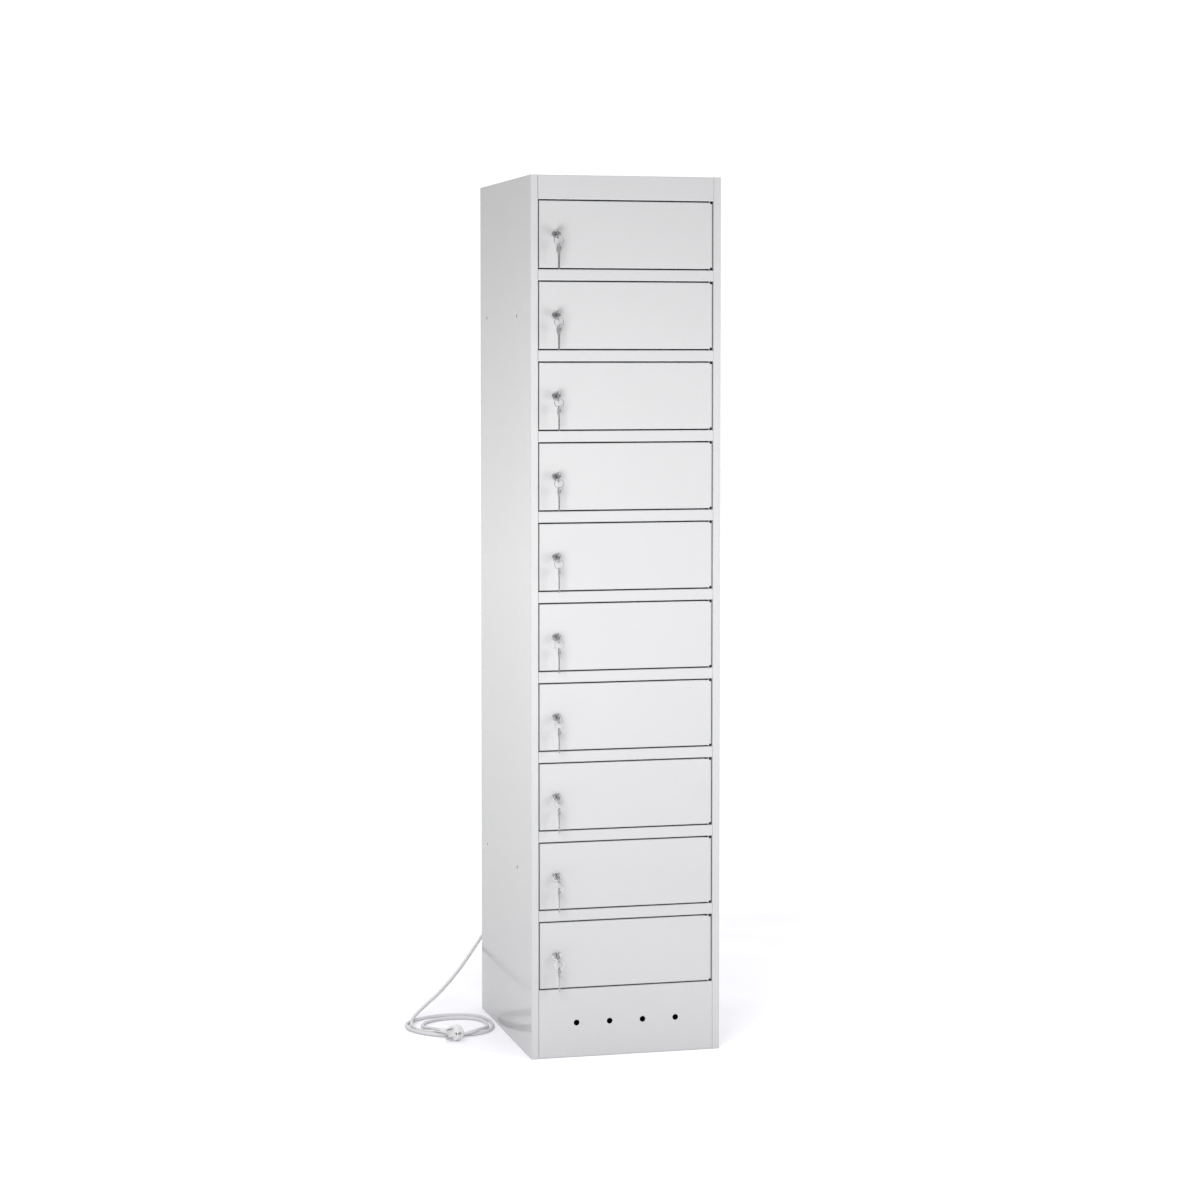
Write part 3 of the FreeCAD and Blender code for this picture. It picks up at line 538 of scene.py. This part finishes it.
def make_plug():
    frame_matrix, cord_end = plug_matrix()
    holder = plug_shell()
    cuts = bmesh.new()
    lathe(cuts, [(0, -12), (3.2, -12), (3.2, -9.6), (2.7, -9.1), (2.7, 4), (0, 4)], 32)
    bmesh.ops.translate(cuts, vec=EARTH_HOLE, verts=cuts.verts)
    for side in (-1, 1):
        x = side * CLIP_SLOT_X
        block(cuts, (x - 1.1, -12, -3), (x + 1.1, -1, 3), 0.2)
    cutter = cut_with(holder, to_mesh("plug_cuts", cuts))
    shell = applied(holder, "plug_shell")
    bpy.data.objects.remove(holder)
    bpy.data.objects.remove(cutter)
    pieces = []

    def add(name, mesh, material, nodes=()):
        piece = add_object(name, mesh, (0, 0, 0), material)
        piece.matrix_world = frame_matrix
        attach(piece, "cabinet")
        if nodes:
            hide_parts(*nodes)
        pieces.append(piece)

    add("plug_head", shell, WHITE, ("plug_body",))

    sleeve = bmesh.new()
    ribbed_sleeve(sleeve, 24.5, cord_end, 5.9, 4.5, SLEEVE_HOLE, 7)
    bmesh.ops.rotate(sleeve, cent=(0, 0, 0), verts=sleeve.verts, matrix=TO_CORD)
    add("plug_sleeve", to_mesh("plug_sleeve", sleeve), WHITE)

    collars = bmesh.new()
    for side in (-1, 1):
        part = bmesh.new()
        lathe(part, [(2.4, -10.9), (3.3, -10.9), (3.7, -10.5), (3.7, -9.4)], 32)
        bmesh.ops.translate(part, vec=(0, 0, side * PIN_SPACING / 2), verts=part.verts)
        join(collars, part)
    add("plug_collars", to_mesh("plug_collars", collars), WHITE)

    clips = bmesh.new()
    for side in (-1, 1):
        x = side * CLIP_X
        block(clips, (x - 0.35, -9.4, -2.4), (x + 0.35, -1.6, 2.4), 0.25)
    well = bmesh.new()
    lathe(well, [(2.55, -8.9), (2.2, -9.2), (1.9, -8.9), (1.9, 2)], 32)
    bmesh.ops.translate(well, vec=EARTH_HOLE, verts=well.verts)
    join(clips, well)
    add("plug_earth_contacts", to_mesh("plug_earth_contacts", clips), NICKEL)
    return pieces


def make_gland():
    start_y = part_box("cable_gland")[1].y - GLAND_LENGTH * MM
    place = Vector((CORD_EXIT[0], start_y, CORD_EXIT[2]))
    nut = bmesh.new()
    plate(nut, [hexagon(12)], 0, 6, 0.7)
    grips = bmesh.new()

    def gripped(radius, y, angle):
        return radius - 0.35 * max(0.0, math.cos(18 * angle)) ** 2

    lathe(grips, [(9.9, 5.8), (10.2, 6.6), (10.2, 10.2), (9.8, 11.6), (9.0, 12.9), (8.0, 13.7),
                  (7.0, 14.0), (4, 14.0)], 144, gripped)
    join(nut, grips)
    body = place_piece("gland_nut", to_mesh("gland_nut", nut), place, "cabinet", GLAND_GREY,
                       ("cable_gland",))
    sleeve = bmesh.new()
    ribbed_sleeve(sleeve, 13.4, GLAND_LENGTH, 6.9, 4.8, SLEEVE_HOLE, 6)
    relief = place_piece("gland_sleeve", to_mesh("gland_sleeve", sleeve), place, "cabinet",
                         GLAND_GREY)
    return [body, relief]


# ---- locks and keys --------------------------------------------------------------------

LOCK_RADIUS = 8.0
THREAD_PITCH = 1.25
THREAD_DEPTH = 0.55
CORE_RADIUS = 5.7
CORE_FACE = -2.7
CAM_FRONT = 19.0
CAM_THICK = 2.0
CAM_LENGTH = 45.0
CAM_WIDTH = 15.0
SCREW_RADIUS = 5.0
SCREW_HEIGHT = 3.0
BOW_RADIUS = 10.5
BOW_DROP = 6.3
BOW_RIM = 9.35              # inner radius of the bow's raised rim
KEY_THICK = 2.2
HALF_NECK = 4.5
SLOT_REACH = 2.9            # from the slot's middle to the middle of its round end
SLOT_RADIUS = 1.7
MARK_DROP = 3.6             # from the bow's middle to its raised round mark
BLADE_THICK = 1.9
BLADE_WIDTH = 7.6
BITTING = ((1.6, 5), (2.4, 10), (1.2, 15), (2.0, 20))   # depth, and height above the tip
NECK_LOW = -(BOW_DROP + BOW_RADIUS + 5)
BLADE_LOW = NECK_LOW - 25
HOLE_DEPTH = -25.3
BLADE_SHOWN = 15.0          # how much of the key in the lock is drawn past its slot
RING_RADIUS = 9.5
RING_DROP = 3.6 + RING_RADIUS
RING_PLAY = 0.7             # from the ring's low point to the spare key's slot
SPARE_TWISTS = (12, 10, 1, 0, -6, -3, -2, -5, -6, -4)


def housing_mesh():
    """Round bright bezel with a turned groove, and the threaded barrel behind the door."""
    def threaded(radius, y, angle):
        if radius < LOCK_RADIUS - 0.01 or not 0.9 < y < 17.8:
            return radius
        turn = (y / THREAD_PITCH + angle / (2 * math.pi)) % 1.0
        return radius - THREAD_DEPTH * abs(2 * turn - 1)

    shape = bmesh.new()
    profile = [(5.75, 18.5), (5.75, -2.1), (5.95, -2.5), (6.35, -2.75), (6.75, -2.95),
               (7.3, -3.0), (7.4, -2.86), (7.6, -2.86), (7.7, -3.0), (8.4, -3.0), (8.9, -2.85),
               (9.25, -2.5), (9.45, -2.0), (9.5, -1.5), (9.5, -0.25), (9.35, 0.0), (8.0, 0.0)]
    y = 0.95
    while y < 17.9:
        profile.append((LOCK_RADIUS, y))
        y += THREAD_PITCH / 4
    profile += [(LOCK_RADIUS, 18.0), (7.6, 18.5)]
    lathe(shape, profile, 64, threaded, closed=True)
    return to_mesh("lock_housing", shape, 30)


def clamp_nut_mesh():
    shape = bmesh.new()
    plate(shape, [hexagon(12), circle(0, 0, LOCK_RADIUS)], 1.0, 5.5, 0.5)
    return to_mesh("lock_nut", shape)


def core_mesh():
    """The plug that turns: a face with its keyway, and the round core behind it."""
    shape = bmesh.new()
    keyway = rounded_rectangle(2.5, BLADE_WIDTH + 0.5, 0.5, 4)
    plate(shape, [circle(0, 0, CORE_RADIUS), keyway], CORE_FACE, CORE_FACE + 1.6, 0.25)
    lathe(shape, [(0, CORE_FACE + 1.6), (CORE_RADIUS, CORE_FACE + 1.6),
                  (CORE_RADIUS, CAM_FRONT), (0, CAM_FRONT)], 48)
    return to_mesh("lock_plug", shape)


# A near-black sheet at the bottom of the shallow keyway: painted shade for the dark inside of a
# deep keyway.
def keyhole_shade_mesh():
    shape = bmesh.new()
    block(shape, (-1.3, CORE_FACE + 1.3, -4.1), (1.3, CORE_FACE + 1.55, 4.1), 0.05)
    return to_mesh("keyway", shape)


def cam_mesh():
    """Stamped cam, hanging down from the core's square tail."""
    half = CAM_WIDTH / 2
    tip = half - CAM_LENGTH
    square = CORE_RADIUS * 0.6
    outline = arc(0, 0, half, 0, 180, 24) + arc(0, tip + 1.4, half - 1.4, 180, 360, 24)
    tail = rounded_rectangle(2 * square, 2 * square, 0.4, 3)
    shape = bmesh.new()
    plate(shape, [outline, tail], CAM_FRONT, CAM_FRONT + CAM_THICK, 0.3)
    plate(shape, [tail], CAM_FRONT - 0.3, CAM_FRONT + CAM_THICK, 0.15)
    return to_mesh("lock_cam", shape)


def screw_mesh(radius, height, start):
    """Pan-head screw along +Y with a cross recess, and its toothed washer."""
    shape = bmesh.new()
    recess = radius * 0.80
    arm, half = radius * 0.62, radius * 0.14
    cross = [(half, half), (arm, half), (arm, -half), (half, -half), (half, -arm), (-half, -arm),
             (-half, -half), (-arm, -half), (-arm, half), (-half, half), (-half, arm), (half, arm)]
    top = start + height
    plate(shape, [circle(0, 0, recess), cross[::-1]], top - 1.0, top, 0.12)
    lathe(shape, [(0, top - 1.0), (recess, top - 1.0), (radius * 0.93, top - 1.25),
                  (radius, top - 1.8), (radius, start + 0.6), (radius * 0.9, start + 0.5),
                  (0, start + 0.5)], 48)

    def toothed(r, y, angle):
        return r + 0.35 * max(0.0, math.sin(14 * angle))

    lathe(shape, [(0, start), (radius + 0.3, start), (radius + 0.3, start + 0.45),
                  (0, start + 0.45)], 112, toothed)
    return to_mesh("cam_screw", shape)


def bitting(height):
    """How far the cut edge stands from the blade's middle at a height above its tip."""
    half = BLADE_WIDTH / 2
    edge = half
    for depth, rise in BITTING:
        away = max(0.0, abs(height - rise) - 0.5)
        edge = min(edge, half - depth + away * depth / 1.9)
    return min(edge, half - 2.5 + max(0.0, height))


def key_mesh(blade_end):
    """A flat key with its slot on the origin and its blade down to blade_end."""
    shape = bmesh.new()
    turn = Matrix.Rotation(math.radians(90), 4, "Z")
    start = math.degrees(math.asin(HALF_NECK / BOW_RADIUS))
    bow = arc(0, -BOW_DROP, BOW_RADIUS, -90 + start, 270 - start, 56)
    neck = [(-HALF_NECK, NECK_LOW + 0.6), (-HALF_NECK + 0.6, NECK_LOW),
            (HALF_NECK - 0.6, NECK_LOW), (HALF_NECK, NECK_LOW + 0.6)]
    slot = (arc(SLOT_REACH, 0, SLOT_RADIUS, -90, 90, 8)
            + arc(-SLOT_REACH, 0, SLOT_RADIUS, 90, 270, 8))
    plate(shape, [bow + neck, slot[::-1]], -0.85, 0.85, 0.2, turn)
    rim = [circle(0, -BOW_DROP, BOW_RADIUS, 64), circle(0, -BOW_DROP, BOW_RIM, 64)[::-1]]
    plate(shape, rim, -KEY_THICK / 2, KEY_THICK / 2, 0.25, turn)
    low = -BOW_DROP - MARK_DROP
    mark = [circle(0, low, 3.6, 40), circle(0, low, 2.9, 40)[::-1]]
    plate(shape, mark, -1.0, 1.0, 0.12, turn)
    half = BLADE_THICK / 2
    groove = half - 0.55
    section = [(-half, -3.8), (-half, -2.2), (-groove, -1.9), (-groove, -0.9), (-half, -0.6),
               (-half, 1.0), (-groove, 1.3), (-groove, 2.0), (-half, 2.3), (-half, 3.5),
               (-half + 0.3, 3.8), (half - 0.3, 3.8), (half, 3.5), (half, 0.4), (groove, 0.1),
               (groove, -1.3), (half, -1.6), (half, -3.5), (half - 0.3, -3.8)]
    stations = []
    height = 0.0
    top = NECK_LOW + 0.5 - BLADE_LOW
    while height < top:
        if BLADE_LOW + height >= blade_end:
            stations.append(height)
        height += 0.25
    stations.append(top)
    rings = []
    for height in stations:
        limit = bitting(height)
        low_limit = -3.8 + max(0.0, 1.0 - height)
        ring = []
        for x, y in section:
            y = max(low_limit, min(limit, y))
            ring.append(shape.verts.new((x, y, BLADE_LOW + height)))
        rings.append(ring)
    skin(shape, rings)
    return to_mesh("key", shape)


def split_ring_mesh():
    """A split ring: two coils of flattened wire that step across once in each turn."""
    shape = bmesh.new()
    points = []
    steps = 96
    for step in range(int(1.97 * steps)):
        turn = step / steps
        across = min(1.0, max(0.0, (turn - 0.92) / 0.14))
        across = across * across * (3 - 2 * across)
        angle = 2 * math.pi * (turn + 0.18)
        points.append(Vector((RING_RADIUS * math.cos(angle), -0.4 + 0.8 * across,
                              RING_RADIUS * math.sin(angle))))
    section = rounded_rectangle(1.35, 0.74, 0.24, 3)
    sweep(shape, points, section, flat_axis=Vector((0, 1, 0)))
    return to_mesh("split_ring", shape, 50)


def make_locks():
    meshes = {
        "housing": housing_mesh(),
        "nut": clamp_nut_mesh(),
        "plug": core_mesh(),
        "keyway": keyhole_shade_mesh(),
        "cam": cam_mesh(),
        "screw": screw_mesh(SCREW_RADIUS, SCREW_HEIGHT, CAM_FRONT + CAM_THICK),
        "key": key_mesh(BLADE_LOW),
        "short_key": key_mesh(HOLE_DEPTH - BLADE_SHOWN),
        "ring": split_ring_mesh(),
    }
    for number, twist in zip(NUMBERS, SPARE_TWISTS):
        low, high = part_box("lock_housing_" + number)
        axis = Vector(((low.x + high.x) / 2, FRONT_Y, (low.z + high.z) / 2))
        door, lock, keys = "door_" + number, "lock_" + number, "keys_" + number
        place_piece("lock_barrel_" + number, meshes["housing"], axis, door, CHROME,
                    ("lock_housing_" + number,))
        place_piece("lock_nut_" + number, meshes["nut"], axis, door, ZINC)
        place_piece("lock_plug_" + number, meshes["plug"], axis, lock, CHROME,
                    ("lock_core_" + number,))
        # Near-black sheet in the keyway: painted shade.
        place_piece("keyway_" + number, meshes["keyway"], axis, lock, PAINTED_SHADE_BLACK)
        place_piece("lock_cam_" + number, meshes["cam"], axis, lock, ZINC)
        place_piece("cam_screw_" + number, meshes["screw"], axis, lock, ZINC)
        slot_place = axis + Vector((0, HOLE_DEPTH * MM, 0))
        place_piece("key_" + number, meshes["short_key"], slot_place, lock, NICKEL,
                    turn=(math.radians(90), 0, 0))
        ring_place = slot_place - Vector((0, 0, RING_DROP * MM))
        place_piece("key_ring_" + number, meshes["ring"], ring_place, keys, CHROME,
                    ("keys_" + number,))
        spare_place = ring_place - Vector((0, 0, (RING_RADIUS + RING_PLAY) * MM))
        place_piece("spare_key_" + number, meshes["key"], spare_place, keys, NICKEL,
                    turn=(0, 0, math.radians(twist)))


# ---- inside the cabinet ----------------------------------------------------------------

OUTLET_SIZE = 60.0
OUTLET_DEPTH = 38.0
RECESS_RADIUS = 19.8
RECESS_DEPTH = 17.0
OUTLET_RISE = 82.4          # from a door's low edge to the outlet's middle
STOP_RISE = 104.0           # from a door's low edge to the stop's tab
STOP_WIDTH = 11.0
STOP_HEIGHT = 16.0
RIVET_X = 0.190             # either side of the middle
RIVET_LOW = 0.060           # height of the lowest, and the pitch up to the next
RIVET_PITCH = 0.210
RIVETS_A_SIDE = 9


def outlet_meshes():
    case = bmesh.new()
    plate(case, [rounded_rectangle(OUTLET_SIZE, OUTLET_SIZE, 6, 8), circle(0, 0, 22.6, 72)],
          0, OUTLET_DEPTH, 1.6)
    insert = bmesh.new()
    lathe(insert, [(22.5, 3), (22.5, 0.5), (22.2, -0.1), (21.4, -0.4), (20.6, -0.2),
                   (20.0, 0.5), (RECESS_RADIUS, 1.4), (19.6, RECESS_DEPTH - 0.8),
                   (19.2, RECESS_DEPTH)], 72)
    holes = [circle(side * 9.5, 0, 2.7, 24)[::-1] for side in (-1, 1)]
    plate(insert, [circle(0, 0, 19.7, 72)] + holes, RECESS_DEPTH - 0.2, RECESS_DEPTH + 2.4, 0.25)
    for side in (-1, 1):
        block(insert, (side * 18.2 - 1.4, 1.6, -3.2), (side * 18.2 + 1.4, RECESS_DEPTH, 3.2), 0.5)
    # Near-black disc behind the pin holes: painted shade for the socket's dark inside.
    dark = bmesh.new()
    lathe(dark, [(0, RECESS_DEPTH + 2.2), (17, RECESS_DEPTH + 2.2), (17, RECESS_DEPTH + 4),
                 (0, RECESS_DEPTH + 4)], 40)
    clips = bmesh.new()
    strip = [(-2.2, -0.3), (2.2, -0.3), (2.2, 0.3), (-2.2, 0.3)]
    for side in (-1, 1):
        path = [(16.9, 19.0), (13.0, 18.4), (9.0, 17.5), (6.0, 17.1), (4.2, 17.5), (2.6, 18.9)]
        points = [Vector((0, y, side * z)) for y, z in path]
        sweep(clips, points, strip, flat_axis=Vector((0, 0, side)))
    screw = bmesh.new()
    slot = [(-2.0, -0.35), (2.0, -0.35), (2.0, 0.35), (-2.0, 0.35)]
    plate(screw, [circle(0, 0, 2.6, 32), slot[::-1]], RECESS_DEPTH - 1.0, RECESS_DEPTH, 0.15)
    join(clips, screw)
    return {"case": to_mesh("outlet_case", case), "insert": to_mesh("outlet_insert", insert),
            "dark": to_mesh("outlet_painted_shade", dark), "clips": to_mesh("outlet_clips", clips)}


def make_outlets():
    meshes = outlet_meshes()
    low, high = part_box("power_sockets")
    for number in NUMBERS:
        door_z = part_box("door_" + number)[0].z
        place = Vector(((low.x + high.x) / 2, low.y, door_z + OUTLET_RISE * MM))
        nodes = ("power_sockets",) if number == NUMBERS[0] else ()
        place_piece("outlet_case_" + number, meshes["case"], place, "cabinet", WHITE,
                    nodes)
        place_piece("outlet_insert_" + number, meshes["insert"], place, "cabinet", WHITE)
        # The near-black disc behind the pin holes is painted shade.
        place_piece("outlet_shade_disc_" + number, meshes["dark"], place, "cabinet", PAINTED_SHADE_BLACK)
        place_piece("outlet_contacts_" + number, meshes["clips"], place, "cabinet", ZINC)


def make_rivets():
    shape = bmesh.new()
    lathe(shape, [(0, 0.35), (0.75, 0.35), (0.9, 1.1), (1.3, 1.3), (2.1, 1.15), (2.7, 0.75),
                  (3.05, 0.25), (3.1, 0)], 32)
    mesh = to_mesh("rivet_head", shape)
    made = bmesh.new()
    for x in (-RIVET_X, RIVET_X):
        for index in range(RIVETS_A_SIDE):
            part = mesh.copy()
            part.transform(Matrix.Translation((x, BACK_Y, RIVET_LOW + RIVET_PITCH * index)))
            made.from_mesh(part)
            bpy.data.meshes.remove(part)
    heads = bpy.data.meshes.new("rivet_heads")
    made.to_mesh(heads)
    made.free()
    heads.shade_smooth()
    heads.set_sharp_from_angle(angle=math.radians(40))
    place_piece("rivet_heads", heads, (0, 0, 0), "cabinet", ZINC, ("rivets",))


def make_door_stops():
    """Folded tab behind each door's free edge, with a rubber pad on its front."""
    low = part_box("door_stops")[0]
    tabs = bmesh.new()
    pads = bmesh.new()
    for number in NUMBERS:
        z = (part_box("door_" + number)[0].z - low.z) / MM + STOP_RISE
        middle = (STOP_WIDTH / 2, z + STOP_HEIGHT / 2)
        block(tabs, (0, 0.7, z), (STOP_WIDTH, 2.7, z + STOP_HEIGHT), 0.5)
        plate(pads, [rounded_rectangle(9, 12, 2, 5, middle)], 0, 1.0, 0.3)
    # The tabs take the darker copy of the coat, painted shade for the inside.
    place_piece("stop_tabs", to_mesh("stop_tabs", tabs), low, "cabinet", GREY_INSIDE_SHADED,
                ("door_stops",))
    place_piece("stop_pads", to_mesh("stop_pads", pads), low, "cabinet", RUBBER)


# ---- materials of the CAD nodes that stay ----------------------------------------------

OUTER_SHEETS = ["left_side", "right_side", "top_panel", "plinth_panel", "front_rails",
                "back_panel"] + ["door_" + number for number in NUMBERS]
# Sheets inside the cabinet get the darker copy of the coat: painted shade.
INNER_SHEETS = ["base_tray", "shelves", "service_wall"]
MOULDINGS = ["socket_wiring", "distribution_box", "terminal_block"]
PLATED = ["hinge_pins", "plug_pins"]


def finish_cad_nodes():
    groups = ((OUTER_SHEETS, GREY), (INNER_SHEETS, GREY_INSIDE_SHADED), (MOULDINGS, WHITE),
              (PLATED, ZINC))
    for names, material in groups:
        for name in names:
            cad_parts[name].material_slots[0].material = material


# ---- studio ----------------------------------------------------------------------------

FLOOR_EDGE_Y = 1.15
FLOOR_REACH = 14.0
ROOM_LIGHT = 0.33           # radiance of the dim room round the set
CEILING_LIGHT = 1.62        # radiance of the ceiling's diffuser
BACKDROP_LIGHT = 1.07       # radiance of the backdrop behind the cabinet
GLOW_CENTRE = 1.50          # radiance of the lit patch on the backdrop's left, its top and foot
GLOW_TOP = 0.75
GLOW_FOOT = 1.00
UNDERFOOT_LIGHT = 1.00      # radiance steeply below the horizon, past the floor's edge
BOX_SIZE = (0.7, 0.7)
BOX_TARGET = (0.0, -0.25, 1.05)
LEFT_BOX = ((-0.70, -1.45, 1.10), 17.5)                  # place, and power in watts
RIGHT_BOX = ((1.15, -1.45, 1.10), 13.5)


def make_floor():
    mesh = bpy.data.meshes.new("floor")
    corners = [(-FLOOR_REACH, -FLOOR_REACH, 0), (FLOOR_REACH, -FLOOR_REACH, 0),
               (FLOOR_REACH, FLOOR_EDGE_Y, 0), (-FLOOR_REACH, FLOOR_EDGE_Y, 0)]
    mesh.from_pydata(corners, [], [(0, 1, 2, 3)])
    floor = add_object("floor", mesh, (0, 0, -0.0002), FLOOR_PAPER)


def softbox(name, place, power):
    data = bpy.data.lights.new(name, "AREA")
    data.shape = "RECTANGLE"
    data.size, data.size_y = BOX_SIZE
    data.energy = power
    lamp = bpy.data.objects.new(name, data)
    lamp.location = place
    aim = Vector(BOX_TARGET) - Vector(place)
    lamp.rotation_euler = aim.to_track_quat("-Z", "Y").to_euler()
    lamp.visible_camera = False
    lamp.visible_glossy = False
    bpy.context.scene.collection.objects.link(lamp)


def make_world():
    """A dim room with a ceiling diffuser, and a backdrop that glows on its left."""
    world = bpy.data.worlds.new("studio")
    world.use_nodes = True
    tree = world.node_tree
    where = tree.nodes.new("ShaderNodeTexCoord").outputs["Generated"]
    direction = node(tree, "SeparateXYZ", {0: where})
    height = direction.outputs["Z"]
    above = ranged(tree, height, GLOW_CENTRE, GLOW_TOP, -0.07, 0.06)
    below = ranged(tree, height, GLOW_FOOT / GLOW_CENTRE, 1.0, -0.20, -0.07)
    patch = math_node(tree, "MULTIPLY", above, below)
    leftward = ranged(tree, direction.outputs["X"], 1.0, 0.0, -0.12, 0.0)
    lit = math_node(tree, "MULTIPLY", math_node(tree, "SUBTRACT", patch, BACKDROP_LIGHT), leftward)
    backdrop = math_node(tree, "ADD", lit, BACKDROP_LIGHT)
    toward = ranged(tree, direction.outputs["Y"], 0.0, 1.0, 0.55, 0.85)
    lift = math_node(tree, "MULTIPLY", math_node(tree, "SUBTRACT", backdrop, ROOM_LIGHT), toward)
    overhead = ranged(tree, height, 0.0, CEILING_LIGHT - ROOM_LIGHT, 0.55, 0.80)
    underfoot = ranged(tree, height, UNDERFOOT_LIGHT - ROOM_LIGHT, 0.0, -0.45, -0.28)
    lift = math_node(tree, "ADD", math_node(tree, "ADD", lift, overhead), underfoot)
    background = tree.nodes["Background"]
    background.inputs["Color"].default_value = (1.0, 1.0, 1.0, 1.0)
    tree.links.new(math_node(tree, "ADD", lift, ROOM_LIGHT), background.inputs["Strength"])
    bpy.context.scene.world = world


def make_studio():
    make_floor()
    make_world()
    softbox("left_box", *LEFT_BOX)
    softbox("right_box", *RIGHT_BOX)
    scene = bpy.context.scene
    scene.view_settings.view_transform = "Standard"
    scene.view_settings.look = "None"


# ---- everything together ---------------------------------------------------------------

make_camera()
cord = make_cord()
plug_pieces = make_plug()
gland_pieces = make_gland()
make_locks()
make_outlets()
make_rivets()
make_door_stops()
finish_cad_nodes()
make_studio()
